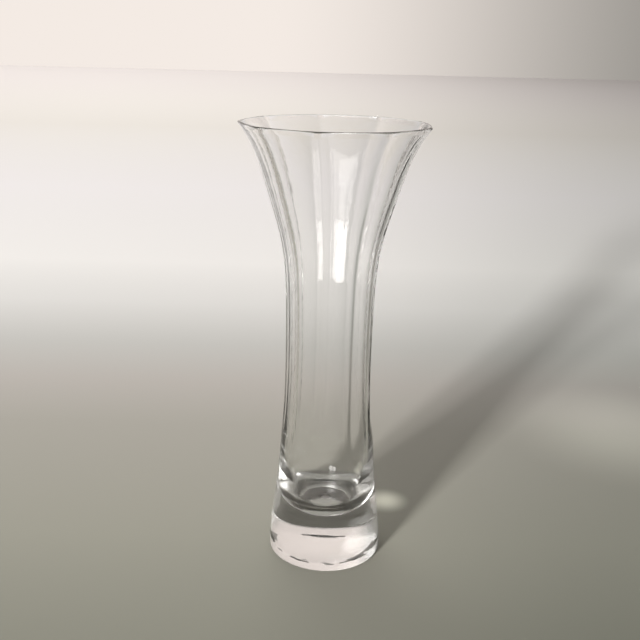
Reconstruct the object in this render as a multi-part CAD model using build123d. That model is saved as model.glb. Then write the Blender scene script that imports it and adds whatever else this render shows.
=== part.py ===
from build123d import *
import os
from math import cos, pi, radians

# Glass bud vase: a panelled trumpet bowl hot-fused onto a heavy solid foot.
# Millimetres. +Z is up, the origin is the centre of the underside, and the vase rests on z = 0.

# Driving dimensions
HEIGHT = 200.0
RIM_RADIUS = 41.5
WAIST_RADIUS = 19.8
WAIST_HEIGHT = 99.0
FOOT_RADIUS = 26.4
SEAM_HEIGHT = 14.0
SEAM_RADIUS = 25.65

RIM_WALL = 1.8
STEM_WALL = 2.4
LIP_ROUND = 0.35

PANELS = 9
PANEL_TURN = radians(30.0)  # first ridge, measured from -Y towards +X
OUTSIDE_SHARPNESS = 120.0
INSIDE_SHARPNESS = 40.0
RIM_PANEL_DEPTH = 0.66
INSIDE_DEPTH = 0.5  # the inside is rounder than the outside, so the glass is thickest at the ridges
PANEL_PLACES = (0, 0.03, 0.08, 0.18, 0.34, 0.5, 0.66, 0.82, 0.92, 0.97)  # outline points, ridge to ridge

CAVITY_FLOOR = 20.0
CAVITY_FLOOR_RADIUS = 3.0
CAVITY_SHOULDER = 34.0
CAVITY_SHOULDER_RADIUS = 17.6

FOOT_BULGE_HEIGHT = 6.0
FOOT_BULGE_RADIUS = 26.3
FOOT_EDGE_ROUND = 0.5
BEARING_INNER_RADIUS = 16.0
BEARING_WIDTH = 1.0
PUNT_DEPTH = 0.6
EDGE_LIFT = 0.15

# The outside of the bowl: height, ridge radius, and the depth of the panels (0 round, 1 fully flat).
# They fade in above the foot, and get a little softer again in the flare.
OUTSIDE = [
    (SEAM_HEIGHT, SEAM_RADIUS, 0.0),
    (22.0, 24.65, 0.0),
    (33.0, 23.35, 0.0),
    (44.0, 22.4, 0.0),
    (54.0, 21.7, 0.06),
    (66.0, 20.7, 0.67),
    (82.0, 20.0, 1.0),
    (WAIST_HEIGHT, WAIST_RADIUS, 1.0),
    (115.0, 19.9, 1.0),
    (130.0, 20.3, 1.0),
    (140.0, 21.0, 1.0),
    (150.0, 22.6, 1.0),
    (163.0, 26.1, 1.0),
    (176.0, 30.1, 0.98),
    (187.0, 34.0, 0.83),
    (194.0, 37.6, 0.71),
    (HEIGHT - LIP_ROUND, RIM_RADIUS, RIM_PANEL_DEPTH),
]

# The wall: height, and thickness at a ridge. Below the last height the cavity closes in a rounded floor.
WALL = [
    (HEIGHT - LIP_ROUND, RIM_WALL),
    (194.0, 1.85),
    (187.0, 1.95),
    (176.0, 2.1),
    (163.0, 2.25),
    (150.0, STEM_WALL),
    (140.0, STEM_WALL),
    (130.0, STEM_WALL),
    (115.0, STEM_WALL),
    (WAIST_HEIGHT, STEM_WALL),
    (82.0, STEM_WALL),
    (66.0, 2.45),
    (54.0, 3.0),
    (44.0, 3.8),
]
FLOOR_STEPS = 6


def panel_ratio(place, sharpness, amount):
    """Radius over the ridge radius, at a place from 0 on one ridge to 1 on the next: flats with soft ridges."""
    pitch = 2 * pi / PANELS

    def soft_polygon(from_centre):
        reach = sum(max(0.0, cos(from_centre - k * pitch)) ** sharpness for k in (-1, 0, 1))
        return reach ** (-1 / sharpness)

    return 1 + amount * (soft_polygon((place - 0.5) * pitch) / soft_polygon(pitch / 2) - 1)


def section(height, ridge_radius, amount, sharpness=OUTSIDE_SHARPNESS):
    """One level slice of the panelled form, as a face."""
    outline = []
    for panel in range(PANELS):
        for place in PANEL_PLACES:
            angle = PANEL_TURN + 2 * pi * (panel + place) / PANELS
            reach = ridge_radius * panel_ratio(place, sharpness, amount)
            outline.append(Vector(0, -reach, height).rotate(Axis.Z, 180 * angle / pi))
    return Face(Wire([Edge.make_spline(outline, periodic=True)]))


def inside_section(height, ridge_radius, amount):
    """A level slice of the space inside, where the panels are shallower and rounder."""
    return section(height, ridge_radius, INSIDE_DEPTH * amount, INSIDE_SHARPNESS)


def bowl_outside():
    """The solid trumpet, with a small chamfer that stands for the rounded lip."""
    body = loft([section(*level) for level in OUTSIDE])
    lip = loft([section(*OUTSIDE[-1]), section(HEIGHT, RIM_RADIUS - LIP_ROUND, RIM_PANEL_DEPTH)])
    return body + lip


def bowl_cavity():
    """The space inside: panelled more softly than the outside, closing in a rounded floor."""
    outside = {height: (radius, amount) for height, radius, amount in OUTSIDE}
    levels = []
    for height, wall in WALL:
        radius, amount = outside[height]
        levels.append((height, radius - wall, amount))
    corner_depth = CAVITY_SHOULDER - CAVITY_FLOOR
    corner_width = CAVITY_SHOULDER_RADIUS - CAVITY_FLOOR_RADIUS
    for step in range(FLOOR_STEPS):
        drop = step / (FLOOR_STEPS - 1)
        reach = (1 - drop**2) ** 0.5
        levels.append((CAVITY_SHOULDER - corner_depth * drop, CAVITY_FLOOR_RADIUS + corner_width * reach, 0.0))
    mouth = (HEIGHT, RIM_RADIUS - RIM_WALL + LIP_ROUND, RIM_PANEL_DEPTH)
    body = loft([inside_section(*level) for level in reversed(levels)])
    lip = loft([inside_section(*levels[0]), inside_section(*mouth)])
    return body + lip


def panelled_bowl():
    bowl = bowl_outside() - bowl_cavity()
    bowl.label = "panelled_bowl"
    bowl.color = Color(0.75, 0.85, 0.85, 0.5)
    return bowl


def solid_foot():
    """The clear block under the bowl: shallow punt, bearing ring, slightly lifted and rounded edge."""
    bearing_outer = BEARING_INNER_RADIUS + BEARING_WIDTH
    edge_start = FOOT_RADIUS - FOOT_EDGE_ROUND
    with BuildPart() as foot:
        with BuildSketch(Plane.XZ):
            with BuildLine():
                Line((0, SEAM_HEIGHT), (0, PUNT_DEPTH))
                ThreePointArc(
                    (0, PUNT_DEPTH),
                    (BEARING_INNER_RADIUS / 2, PUNT_DEPTH * 0.75),
                    (BEARING_INNER_RADIUS, 0),
                )
                Line((BEARING_INNER_RADIUS, 0), (bearing_outer, 0))
                Line((bearing_outer, 0), (edge_start, EDGE_LIFT))
                RadiusArc(
                    (edge_start, EDGE_LIFT),
                    (FOOT_RADIUS, EDGE_LIFT + FOOT_EDGE_ROUND),
                    -FOOT_EDGE_ROUND,
                )
                Spline(
                    (FOOT_RADIUS, EDGE_LIFT + FOOT_EDGE_ROUND),
                    (FOOT_BULGE_RADIUS, FOOT_BULGE_HEIGHT),
                    (SEAM_RADIUS, SEAM_HEIGHT),
                )
                Line((SEAM_RADIUS, SEAM_HEIGHT), (0, SEAM_HEIGHT))
            make_face()
        revolve(axis=Axis.Z)
    foot.part.label = "solid_foot"
    foot.part.color = Color(0.7, 0.8, 0.8, 0.5)
    return foot.part


os.makedirs("parts", exist_ok=True)
for piece in (panelled_bowl(), solid_foot()):
    export_step(piece, f"parts/{piece.label}.step")
    box = piece.bounding_box()
    print(piece.label, "volume", round(piece.volume), "size", box.size, "valid", piece.is_valid)
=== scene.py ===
from math import cos, pi, radians, sin

import bmesh
import bpy
import numpy as np
from mathutils import Matrix, Vector


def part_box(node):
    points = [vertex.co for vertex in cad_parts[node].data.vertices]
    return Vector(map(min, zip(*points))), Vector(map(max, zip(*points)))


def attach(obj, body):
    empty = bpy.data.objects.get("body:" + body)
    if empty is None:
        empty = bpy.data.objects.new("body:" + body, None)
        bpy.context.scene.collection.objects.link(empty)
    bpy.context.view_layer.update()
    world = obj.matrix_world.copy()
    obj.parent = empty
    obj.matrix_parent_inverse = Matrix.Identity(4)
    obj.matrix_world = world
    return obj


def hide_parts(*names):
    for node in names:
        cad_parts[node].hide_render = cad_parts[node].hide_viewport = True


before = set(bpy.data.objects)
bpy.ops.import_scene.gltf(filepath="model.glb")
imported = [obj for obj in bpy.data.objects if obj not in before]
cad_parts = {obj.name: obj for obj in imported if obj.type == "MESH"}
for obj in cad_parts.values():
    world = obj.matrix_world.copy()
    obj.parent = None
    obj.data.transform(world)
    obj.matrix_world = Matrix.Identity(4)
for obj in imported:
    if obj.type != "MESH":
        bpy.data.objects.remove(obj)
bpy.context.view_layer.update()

# Lengths are in metres, and MM turns millimetres into metres. These three come from the frame.
MM = 0.001
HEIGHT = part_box("panelled_bowl")[1].z
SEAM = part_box("solid_foot")[1].z
FOOT_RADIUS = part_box("solid_foot")[1].x

# The outside in millimetres: height and ridge radius, from the foot's bulge to the mouth
OUTSIDE = [
    (6, 26.3),
    (14, 25.65),
    (22, 24.65),
    (33, 23.35),
    (44, 22.4),
    (54, 21.7),
    (66, 20.7),
    (82, 20.0),
    (99, 19.8),
    (115, 19.9),
    (130, 20.3),
    (140, 21.0),
    (150, 22.6),
    (163, 26.1),
    (176, 30.1),
    (187, 34.0),
    (194, 37.6),
    (200, 41.7),
]
# The wall in millimetres: height and thickness at a ridge
WALL = [
    (31, 6.2),
    (36, 5.2),
    (44, 3.8),
    (54, 3.0),
    (66, 2.45),
    (82, 2.4),
    (150, 2.4),
    (163, 2.25),
    (176, 2.1),
    (187, 1.95),
    (200, 1.8),
]

# Flat panels that meet in soft ridges, and fade away towards the foot
PANELS = 9
PANEL_TURN = radians(30)
STEPS_PER_PANEL = 32
OUTSIDE_SHARPNESS = 120
INSIDE_SHARPNESS = 40
INSIDE_DEPTH = 0.5
FADE_START = 50 * MM
FADE_END = 76 * MM
SOFTER_RIM_START = 172 * MM
SOFTER_RIM_END = 202 * MM
SOFTER_RIM = 0.35

CAVITY_FLOOR = 20 * MM
CAVITY_FLOOR_RADIUS = 3 * MM
CAVITY_SHOULDER = 34 * MM

# The spacing of the mesh's rows up the bowl and up the foot
BOWL_SPACING = 1.8 * MM
FOOT_SPACING = 1 * MM

# The foot and its underside
BULGE_HEIGHT = 6 * MM
PUNT_RADIUS = 16 * MM
PUNT_DEPTH = 0.6 * MM
BEARING_WIDTH = 1.0 * MM
BEARING_ARCS = 5
BEARING_WAVE = 0.06 * MM
EDGE_ROUND = 0.5 * MM
EDGE_LIFT = 0.15 * MM

# The glass
GLASS_COLOUR = (0.996, 0.996, 0.996, 1)
GLASS_IOR = 1.51
GLOSS_WEAR = 0.03
WORN_ROUGHNESS = 0.6
WORN_WIDTH = 2.2 * MM
UNDERSIDE_ROUGHNESS = 0.2
BOWL_WAVES = 0.12 * MM
FOOT_WAVES = 0.03 * MM

# The stage: tones of the backdrop, the room and the ceiling
BACKDROP_LEFT = (0.905, 0.83, 0.775)
BACKDROP_RIGHT = (0.30, 0.285, 0.26)
UPPER_BACKDROP = (0.86, 0.77, 0.715)
ROOM_AT_LEFT = (0.30, 0.29, 0.27)
ROOM_IN_FRONT = (0.28, 0.27, 0.25)
CEILING = (0.22, 0.215, 0.21)

# The table: its pale tone with painted light, darker near the front and paler further back, at distances in
# front of (-) and behind the vase, and how much painted shade darkens it to the right
TABLE_TONES_WITH_PAINTED_LIGHT = [
    (-0.08, (0.235, 0.235, 0.20)),
    (0.0, (0.31, 0.305, 0.265)),
    (0.13, (0.375, 0.36, 0.33)),
    (0.20, (0.455, 0.43, 0.41)),
    (0.28, (0.53, 0.525, 0.515)),
    (0.39, (0.72, 0.71, 0.71)),
    (0.54, (0.86, 0.84, 0.845)),
    (1.0, (0.845, 0.81, 0.84)),
    (2.0, (0.735, 0.69, 0.67)),
]
PAINTED_RIGHT_SHADE = (0.68, 0.70, 0.69)
FAR_PAINTED_RIGHT_SHADE = (0.655, 0.665, 0.675)
TABLE_SIGHT = 0.37
TABLE_FRONT = 0.45
TABLE_REACH = 6.0
# Round spots of painted light and shade on it (painted shade behind the foot, painted glow beside it, painted
# patch of light beside the shadow): middle, change of tone, and the radii at which the change is full and
# gone
SHADE_BEHIND_FOOT = ((0, 0.022, 0), (0.50, 0.50, 0.50), 0.012, 0.022)
GLOW_BESIDE_FOOT = ((0.0325, 0.040, 0), (2.8, 2.85, 2.85), 0.001, 0.014)
PAINTED_LIGHT_BESIDE_SHADOW = ((0.19, 0.135, 0), (1.5, 1.5, 1.5), 0.005, 0.085)
# The light that the foot gathers on the table under itself, painted as a glow of the table's own, and the
# radii where it is full and gone
GATHERED_LIGHT = (0.25, 0.245, 0.22)
GATHERED_INNER = 0.013
GATHERED_OUTER = 0.0158

# The window's reflection, and the panes that light the table, turned in degrees from -Y towards -X
WINDOW_COLOUR = (1, 0.98, 0.95)
WINDOW_TURN = 24
WINDOW_DISTANCE = 1.3
WINDOW_WIDTH = 0.50
PANE_DISTANCE = 2.5
PANE_WIDTH = 0.16
PANE_HEIGHT = 0.24

CAMERA_PLACE = (-0.0046, -0.3715, 0.2334)
CAMERA_PITCH = radians(17.95)
CAMERA_ROLL = radians(1.4)
CAMERA_LENS = 48.94


# --- Shapes ---


def smooth_curve(points):
    """A natural cubic spline through (height, value) points given in millimetres, as a function in metres."""
    x = np.array([p[0] for p in points]) * MM
    y = np.array([p[1] for p in points]) * MM
    step = np.diff(x)
    slope = np.diff(y) / step
    count = len(x)
    system = np.eye(count)
    right = np.zeros(count)
    for i in range(1, count - 1):
        system[i, i - 1 : i + 2] = step[i - 1], 2 * (step[i - 1] + step[i]), step[i]
        right[i] = 3 * (slope[i] - slope[i - 1])
    bend = np.linalg.solve(system, right)

    def value(at):
        i = int(np.clip(np.searchsorted(x, at) - 1, 0, count - 2))
        t = at - x[i]
        first = slope[i] - step[i] * (2 * bend[i] + bend[i + 1]) / 3
        return y[i] + first * t + bend[i] * t**2 + (bend[i + 1] - bend[i]) / (3 * step[i]) * t**3

    return value


outside_radius = smooth_curve(OUTSIDE)
wall_thickness = smooth_curve(WALL)


def ease(value, start, end):
    """0 before start, 1 after end, and a smooth rise between them."""
    t = min(1.0, max(0.0, (value - start) / (end - start)))
    return t * t * (3 - 2 * t)


def inside_radius(height):
    return outside_radius(height) - wall_thickness(height)


def panel_ratio(angle, sharpness, amount):
    """Radius over the ridge radius at an angle: flat panels that meet in soft ridges."""
    pitch = 2 * pi / PANELS

    def soft_polygon(from_centre):
        reach = sum(max(0.0, cos(from_centre - k * pitch)) ** sharpness for k in (-1, 0, 1))
        return reach ** (-1 / sharpness)

    place = ((angle - PANEL_TURN) / pitch) % 1.0 - 0.5
    return 1 + amount * (soft_polygon(place * pitch) / soft_polygon(pitch / 2) - 1)


def ring(radius, height, depth=0.0, sharpness=OUTSIDE_SHARPNESS):
    """One closed row of points round the axis. The angle is measured from -Y towards +X."""
    count = PANELS * STEPS_PER_PANEL
    amount = depth * ease(height, FADE_START, FADE_END)
    amount *= 1 - SOFTER_RIM * ease(height, SOFTER_RIM_START, SOFTER_RIM_END)
    points = []
    for step in range(count):
        angle = PANEL_TURN + 2 * pi * step / count
        reach = radius * panel_ratio(angle, sharpness, amount)
        points.append((reach * sin(angle), -reach * cos(angle), height))
    return points


def skin(name, rings, contact_ring):
    """A closed mesh over rings that run from one centre point to the other.
    Faces inside contact_ring, where this piece is fused to the other one, get the second material."""
    mesh = bpy.data.meshes.new(name)
    bm = bmesh.new()
    first = bm.verts.new(rings[0])
    rows = [[bm.verts.new(point) for point in row] for row in rings[1:-1]]
    last = bm.verts.new(rings[-1])
    count = len(rows[0])
    for i in range(count):
        j = (i + 1) % count
        bm.faces.new((first, rows[0][j], rows[0][i]))
        bm.faces.new((last, rows[-1][i], rows[-1][j]))
    for lower, upper in zip(rows, rows[1:]):
        for i in range(count):
            j = (i + 1) % count
            bm.faces.new((lower[i], lower[j], upper[j], upper[i]))
    bmesh.ops.recalc_face_normals(bm, faces=bm.faces)
    for face in bm.faces:
        face.smooth = True
        if all(abs(v.co.z - contact_ring) < 1e-7 for v in face.verts):
            face.material_index = 1
    bm.to_mesh(mesh)
    bm.free()
    mesh.set_sharp_from_angle(angle=radians(50))
    piece = bpy.data.objects.new(name, mesh)
    bpy.context.scene.collection.objects.link(piece)
    return piece


def spread(start, end, spacing):
    """Evenly spaced values from start up to but without end."""
    return np.linspace(start, end, max(2, round(abs(end - start) / spacing)), endpoint=False)


def bowl_rings():
    """Seam disc, outside, rounded lip, inside, rounded cavity floor."""
    rings = [(0, 0, SEAM)]
    rings += [ring(outside_radius(SEAM) * share, SEAM) for share in (0.3, 0.6, 0.85)]
    lip = wall_thickness(HEIGHT) / 2
    lip_height = HEIGHT - lip * 0.7
    rings += [ring(outside_radius(h), h, 1.0) for h in spread(SEAM, lip_height, BOWL_SPACING)]
    outer = outside_radius(lip_height)
    middle = (outer + inside_radius(lip_height)) / 2
    for step in range(7):
        turn = pi * step / 6
        out = middle + (outer - middle) * cos(turn)
        up = lip_height + (HEIGHT - lip_height) * sin(turn)
        side = step / 6
        depth = 1 + (INSIDE_DEPTH - 1) * side
        sharpness = OUTSIDE_SHARPNESS + (INSIDE_SHARPNESS - OUTSIDE_SHARPNESS) * side
        rings.append(ring(out, up, depth, sharpness))
    heights = list(spread(lip_height, CAVITY_SHOULDER, BOWL_SPACING))[1:]
    rings += [ring(inside_radius(h), h, INSIDE_DEPTH, INSIDE_SHARPNESS) for h in heights]
    shoulder = inside_radius(CAVITY_SHOULDER)
    for step in range(16):
        turn = pi / 2 * step / 15
        out = CAVITY_FLOOR_RADIUS + (shoulder - CAVITY_FLOOR_RADIUS) * cos(turn)
        up = CAVITY_SHOULDER - (CAVITY_SHOULDER - CAVITY_FLOOR) * sin(turn)
        rings.append(ring(out, up))
    rings += [ring(CAVITY_FLOOR_RADIUS * share, CAVITY_FLOOR) for share in (0.7, 0.35)]
    rings.append((0, 0, CAVITY_FLOOR))
    return rings


def bearing_ring(radius):
    """A row of the ring the vase stands on, which touches the table along a few arcs."""
    points = ring(radius, 0)
    for step, (x, y, z) in enumerate(points):
        angle = PANEL_TURN + 2 * pi * step / len(points)
        wave = 0.5 + 0.5 * cos(BEARING_ARCS * angle)
        points[step] = (x, y, z + BEARING_WAVE * max(0.0, wave - 0.4))
    return points


def foot_rings():
    """Shallow punt, bearing ring, lifted and rounded edge, side, seam disc."""
    rings = [(0, 0, PUNT_DEPTH)]
    for share in (0.15, 0.3, 0.45, 0.6, 0.75, 0.88, 0.95, 1.0):
        rings.append(ring(PUNT_RADIUS * share, PUNT_DEPTH * (1 - share**2)))
    rings[-1] = bearing_ring(PUNT_RADIUS)
    bearing = PUNT_RADIUS + BEARING_WIDTH
    edge = FOOT_RADIUS - EDGE_ROUND
    rings.append(bearing_ring(bearing))
    rings += [ring(bearing + (edge - bearing) * share, EDGE_LIFT * share) for share in (0.25, 0.5, 0.75)]
    for step in range(9):
        turn = pi / 2 * step / 8
        rings.append(ring(edge + EDGE_ROUND * sin(turn), EDGE_LIFT + EDGE_ROUND * (1 - cos(turn))))
    low = EDGE_LIFT + EDGE_ROUND
    for h in spread(low, BULGE_HEIGHT, FOOT_SPACING)[1:]:
        side = (h - low) / (BULGE_HEIGHT - low)
        rings.append(ring(FOOT_RADIUS + (outside_radius(BULGE_HEIGHT) - FOOT_RADIUS) * side**2, h))
    rings += [ring(outside_radius(h), h) for h in spread(BULGE_HEIGHT, SEAM, FOOT_SPACING)]
    rings.append(ring(outside_radius(SEAM), SEAM))
    rings += [ring(outside_radius(SEAM) * share, SEAM) for share in (0.85, 0.6, 0.3)]
    rings.append((0, 0, SEAM))
    return rings


# --- Materials ---


def new_material(name):
    material = bpy.data.materials.new(name)
    material.use_nodes = True
    return material, material.node_tree.nodes, material.node_tree.links


def noise(nodes, links, scale, detail, stretch=1.0):
    """A noise texture laid over the piece's own space, drawn out along Z by stretch."""
    place = nodes.new("ShaderNodeTexCoord")
    drawn = nodes.new("ShaderNodeMapping")
    drawn.inputs["Scale"].default_value = (1, 1, 1 / stretch)
    texture = nodes.new("ShaderNodeTexNoise")
    texture.inputs["Scale"].default_value = scale
    texture.inputs["Detail"].default_value = detail
    links.new(place.outputs["Object"], drawn.inputs["Vector"])
    links.new(drawn.outputs["Vector"], texture.inputs["Vector"])
    return texture


def contact_material():
    """The fused face between the two pieces: glass on both sides, so it neither bends nor reflects light."""
    material, nodes, _ = new_material("fused_contact")
    nodes["Principled BSDF"].inputs["Alpha"].default_value = 0
    return material


def share(nodes, links, value, start, end):
    """How far value has gone from start to end, from 0 to 1, with soft ends."""
    node = nodes.new("ShaderNodeMapRange")
    node.interpolation_type = "SMOOTHSTEP"
    node.inputs["From Min"].default_value = start
    node.inputs["From Max"].default_value = end
    links.new(value, node.inputs["Value"])
    return node.outputs["Result"]


def blend_by(nodes, links, factor, first, second):
    """Mixes two colours, each a fixed colour or another node's output."""
    node = nodes.new("ShaderNodeMix")
    node.data_type = "RGBA"
    links.new(factor, node.inputs["Factor"])
    for socket, colour in (("A", first), ("B", second)):
        if isinstance(colour, tuple):
            node.inputs[socket].default_value = (*colour, 1)
        else:
            links.new(colour, node.inputs[socket])
    return node.outputs["Result"]


def product_of(nodes, links, first, second):
    node = nodes.new("ShaderNodeMix")
    node.data_type = "RGBA"
    node.blend_type = "MULTIPLY"
    node.inputs["Factor"].default_value = 1
    links.new(first, node.inputs["A"])
    links.new(second, node.inputs["B"])
    return node.outputs["Result"]


def calculate(nodes, links, operation, *values):
    """A sum on numbers, each a fixed number or another node's output."""
    node = nodes.new("ShaderNodeMath")
    node.operation = operation
    for socket, value in zip(node.inputs, values):
        if isinstance(value, (int, float)):
            socket.default_value = value
        else:
            links.new(value, socket)
    return node.outputs["Value"]


def distance(nodes, links, place, middle=(0, 0, 0)):
    """How far a place is from an upright line through the middle."""
    level = nodes.new("ShaderNodeVectorMath")
    level.operation = "MULTIPLY_ADD"
    level.inputs[1].default_value = (1, 1, 0)
    level.inputs[2].default_value = (-middle[0], -middle[1], 0)
    links.new(place, level.inputs[0])
    length = nodes.new("ShaderNodeVectorMath")
    length.operation = "LENGTH"
    links.new(level.outputs["Vector"], length.inputs[0])
    return length.outputs["Value"]


def side_share(nodes, links, direction):
    """0 for what lies back and to the left, 1 for what lies back and to the right."""
    level = nodes.new("ShaderNodeVectorMath")
    level.operation = "MULTIPLY"
    level.inputs[1].default_value = (1, 1, 0)
    links.new(direction, level.inputs[0])
    unit = nodes.new("ShaderNodeVectorMath")
    unit.operation = "NORMALIZE"
    links.new(level.outputs["Vector"], unit.inputs[0])
    split = nodes.new("ShaderNodeSeparateXYZ")
    links.new(unit.outputs["Vector"], split.inputs["Vector"])
    return share(nodes, links, split.outputs["X"], -0.08, 0.42)


def underside_wear(nodes, links, radius, width):
    """Roughness to add on the underside: a little all over it, and patches of rubbing in a ring."""
    place = nodes.new("ShaderNodeTexCoord").outputs["Object"]
    split = nodes.new("ShaderNodeSeparateXYZ")
    links.new(place, split.inputs["Vector"])
    off = calculate(nodes, links, "SUBTRACT", distance(nodes, links, place), radius)
    off = calculate(nodes, links, "ABSOLUTE", off)
    band = share(nodes, links, off, width, 0.6 * width)
    low = share(nodes, links, split.outputs["Z"], 1.2 * MM, 0.8 * MM)
    patches = share(nodes, links, noise(nodes, links, 110, 3).outputs["Fac"], 0.46, 0.56)
    rubbed = calculate(nodes, links, "MULTIPLY", band, patches)
    wear = calculate(nodes, links, "MULTIPLY_ADD", rubbed, WORN_ROUGHNESS, UNDERSIDE_ROUGHNESS)
    return calculate(nodes, links, "MULTIPLY", wear, low)


def glass_material(name, wave_height, worn_ring=None):
    """Clear soda-lime glass with the slow waves of a hot-worked surface, and a trace of wear in its gloss."""
    material, nodes, links = new_material(name)
    shader = nodes["Principled BSDF"]
    shader.inputs["Base Color"].default_value = GLASS_COLOUR
    shader.inputs["Transmission Weight"].default_value = 1
    shader.inputs["IOR"].default_value = GLASS_IOR
    wear = noise(nodes, links, 60, 3)
    gloss = nodes.new("ShaderNodeMapRange")
    gloss.inputs["To Max"].default_value = GLOSS_WEAR
    links.new(wear.outputs["Fac"], gloss.inputs["Value"])
    roughness = gloss.outputs["Result"]
    if worn_ring:
        roughness = calculate(nodes, links, "ADD", roughness, underside_wear(nodes, links, *worn_ring))
    links.new(roughness, shader.inputs["Roughness"])
    waves = noise(nodes, links, 140, 4, stretch=5)
    bump = nodes.new("ShaderNodeBump")
    bump.inputs["Strength"].default_value = 1
    bump.inputs["Distance"].default_value = wave_height
    links.new(waves.outputs["Fac"], bump.inputs["Height"])
    links.new(bump.outputs["Normal"], shader.inputs["Normal"])
    return material


def floor_material():
    """A pale matt table top with light and shade painted into its colour: painted darker near the front,
    paler further back and darker to the right, with a painted glow, shade and patch of light where the vase
    bends the light, and a painted glow of its own under the foot."""
    material, nodes, links = new_material("pale_table")
    shader = nodes["Principled BSDF"]
    shader.inputs["Roughness"].default_value = 0.7
    shader.inputs["Specular IOR Level"].default_value = 0.2
    place = nodes.new("ShaderNodeTexCoord").outputs["Object"]
    split = nodes.new("ShaderNodeSeparateXYZ")
    links.new(place, split.inputs["Vector"])
    # Painted light: the table's tone darker near the front and paler further back
    nearest = TABLE_TONES_WITH_PAINTED_LIGHT[0][0]
    furthest = TABLE_TONES_WITH_PAINTED_LIGHT[-1][0]
    back = nodes.new("ShaderNodeMapRange")
    back.inputs["From Min"].default_value = nearest
    back.inputs["From Max"].default_value = furthest
    links.new(split.outputs["Y"], back.inputs["Value"])
    ramp = nodes.new("ShaderNodeValToRGB")
    while len(ramp.color_ramp.elements) < len(TABLE_TONES_WITH_PAINTED_LIGHT):
        ramp.color_ramp.elements.new(0.5)
    for element, (at, tone) in zip(ramp.color_ramp.elements, TABLE_TONES_WITH_PAINTED_LIGHT):
        element.position = (at - nearest) / (furthest - nearest)
        element.color = (*tone, 1)
    links.new(back.outputs["Result"], ramp.inputs["Fac"])
    # Painted shade: the table darker towards the right
    from_camera_side = nodes.new("ShaderNodeVectorMath")
    from_camera_side.inputs[1].default_value = (0, TABLE_SIGHT, 0)
    links.new(place, from_camera_side.inputs[0])
    side = side_share(nodes, links, from_camera_side.outputs["Vector"])
    far = share(nodes, links, split.outputs["Y"], 1.2, 4.0)
    right_painted_shade = blend_by(nodes, links, far, PAINTED_RIGHT_SHADE, FAR_PAINTED_RIGHT_SHADE)
    painted_side_shade = blend_by(nodes, links, side, (1, 1, 1), right_painted_shade)
    tone = product_of(nodes, links, ramp.outputs["Color"], painted_side_shade)
    # Painted shade behind the foot, painted glow beside it and a painted patch of light beside the shadow
    for middle, change, inner, outer in (SHADE_BEHIND_FOOT, GLOW_BESIDE_FOOT, PAINTED_LIGHT_BESIDE_SHADOW):
        away = distance(nodes, links, place, middle)
        change = blend_by(nodes, links, share(nodes, links, away, outer, inner), (1, 1, 1), change)
        tone = product_of(nodes, links, tone, change)
    links.new(tone, shader.inputs["Base Color"])
    # Painted glow under the foot in the table's emission, for the light the foot gathers there
    under_foot = share(nodes, links, distance(nodes, links, place), GATHERED_OUTER, GATHERED_INNER)
    painted_glow_under_foot = blend_by(nodes, links, under_foot, (0, 0, 0), GATHERED_LIGHT)
    links.new(painted_glow_under_foot, shader.inputs["Emission Color"])
    shader.inputs["Emission Strength"].default_value = 1
    return material


# --- The vase ---

contact = contact_material()
bowl = skin("bowl_skin", bowl_rings(), SEAM)
bowl.data.materials.append(glass_material("bowl_glass", BOWL_WAVES))
bowl.data.materials.append(contact)
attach(bowl, "root")
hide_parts("panelled_bowl")

foot = skin("foot_skin", foot_rings(), SEAM)
foot.data.materials.append(glass_material("foot_glass", FOOT_WAVES, (PUNT_RADIUS, WORN_WIDTH)))
foot.data.materials.append(contact)
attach(foot, "root")
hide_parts("solid_foot")


# --- The stage ---


def flat_sheet(name, low, high):
    mesh = bpy.data.meshes.new(name)
    corners = [(low[0], low[1], 0), (high[0], low[1], 0), (high[0], high[1], 0), (low[0], high[1], 0)]
    mesh.from_pydata(corners, [], [(0, 1, 2, 3)])
    sheet = bpy.data.objects.new(name, mesh)
    bpy.context.scene.collection.objects.link(sheet)
    return sheet


table = flat_sheet("table", (-TABLE_REACH, -TABLE_FRONT), (TABLE_REACH, TABLE_REACH))
table.data.materials.append(floor_material())


def room_light():
    """A pale backdrop behind, brighter to the left, a dimmer room in front and at the far left, and a grey
    ceiling."""
    world = bpy.data.worlds.new("room")
    bpy.context.scene.world = world
    world.use_nodes = True
    nodes = world.node_tree.nodes
    links = world.node_tree.links
    direction = nodes.new("ShaderNodeTexCoord").outputs["Generated"]
    split = nodes.new("ShaderNodeSeparateXYZ")
    links.new(direction, split.inputs["Vector"])
    backdrop = blend_by(nodes, links, side_share(nodes, links, direction), BACKDROP_LEFT, BACKDROP_RIGHT)
    raised = share(nodes, links, split.outputs["Z"], 0.2, 0.4)
    backdrop = blend_by(nodes, links, raised, backdrop, UPPER_BACKDROP)
    far_left = share(nodes, links, split.outputs["X"], -0.35, -0.7)
    backdrop = blend_by(nodes, links, far_left, backdrop, ROOM_AT_LEFT)
    front = share(nodes, links, split.outputs["Y"], 0.3, -0.3)
    around = blend_by(nodes, links, front, backdrop, ROOM_IN_FRONT)
    up = share(nodes, links, split.outputs["Z"], 0.60, 0.95)
    total = blend_by(nodes, links, up, around, CEILING)
    links.new(total, nodes["Background"].inputs["Color"])


def area_light(name, place, aim, width, height, power):
    light = bpy.data.lights.new(name, "AREA")
    light.shape = "RECTANGLE"
    light.size = width
    light.size_y = height
    light.energy = power
    lamp = bpy.data.objects.new(name, light)
    bpy.context.scene.collection.objects.link(lamp)
    lamp.location = place
    lamp.rotation_euler = (Vector(aim) - Vector(place)).to_track_quat("-Z", "Y").to_euler()
    lamp.visible_camera = False
    return lamp


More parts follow.
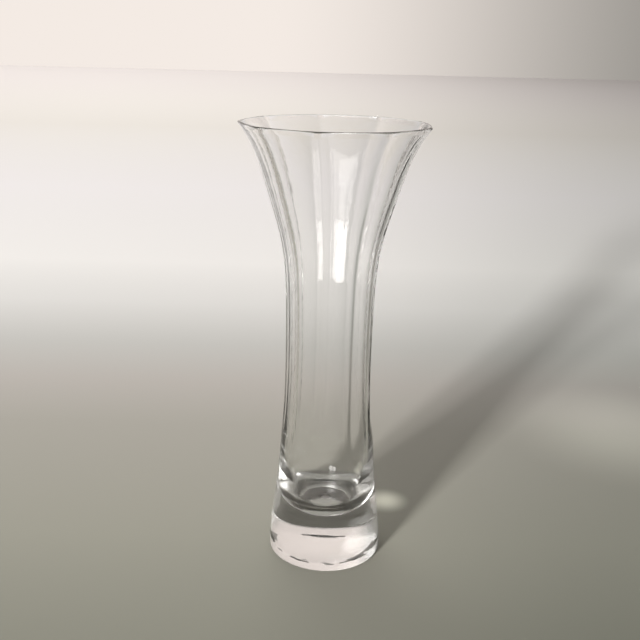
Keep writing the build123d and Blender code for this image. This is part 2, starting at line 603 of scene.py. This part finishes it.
def from_front_left(turn, distance, height):
    """A place at that height and distance, turned that many degrees from -Y towards -X."""
    return (-distance * sin(radians(turn)), -distance * cos(radians(turn)), height)


def window_lights():
    """A tall window in front and to the left, seen only in the glass, and its two brightest panes, which
    light only the table and throw the long shadow."""
    middle = (0, 0, HEIGHT / 2)
    for name, up, tall, power in (("window", 0.15, 0.60, 9), ("upper_window", 0.72, 0.50, 2.0)):
        place = from_front_left(WINDOW_TURN, WINDOW_DISTANCE, up)
        window = area_light(name, place, middle, WINDOW_WIDTH, tall, power)
        window.data.color = WINDOW_COLOUR
        window.visible_diffuse = False
    for name, turn, up, power in (("low_pane", 29, 0.74, 75), ("high_pane", 33.5, 1.15, 43)):
        place = from_front_left(turn, PANE_DISTANCE, up)
        pane = area_light(name, place, middle, PANE_WIDTH, PANE_HEIGHT, power)
        pane.data.color = WINDOW_COLOUR
        pane.visible_glossy = False
        pane.visible_transmission = False


def studio_lights():
    """Soft light on the table behind the vase and on its far part."""
    for name, side, back, up, width, depth, power, colour in (
        ("soft_top", -0.6, 2.0, 1.8, 2.0, 2.0, 15.5, (0.93, 1, 0.88)),
        ("far_top", -2.0, 5.0, 2.4, 6, 5, 125, (1, 0.99, 0.99)),
    ):
        lamp = area_light(name, (side, back, up), (side, back, 0), width, depth, power)
        lamp.data.color = colour
        lamp.visible_glossy = False
        lamp.visible_transmission = False


def photo_camera():
    camera = bpy.data.objects.new("camera", bpy.data.cameras.new("camera"))
    camera.data.sensor_width = 36
    camera.data.lens = CAMERA_LENS
    look = Matrix.Rotation(pi / 2 - CAMERA_PITCH, 4, "X") @ Matrix.Rotation(CAMERA_ROLL, 4, "Z")
    camera.matrix_world = Matrix.Translation(CAMERA_PLACE) @ look
    bpy.context.scene.collection.objects.link(camera)
    bpy.context.scene.camera = camera


def render_look():
    scene = bpy.context.scene
    scene.view_settings.view_transform = "Standard"
    scene.cycles.use_denoising = True
    scene.cycles.max_bounces = 24
    scene.cycles.transmission_bounces = 24
    scene.cycles.glossy_bounces = 12
    scene.cycles.transparent_max_bounces = 16


room_light()
window_lights()
studio_lights()
photo_camera()
render_look()
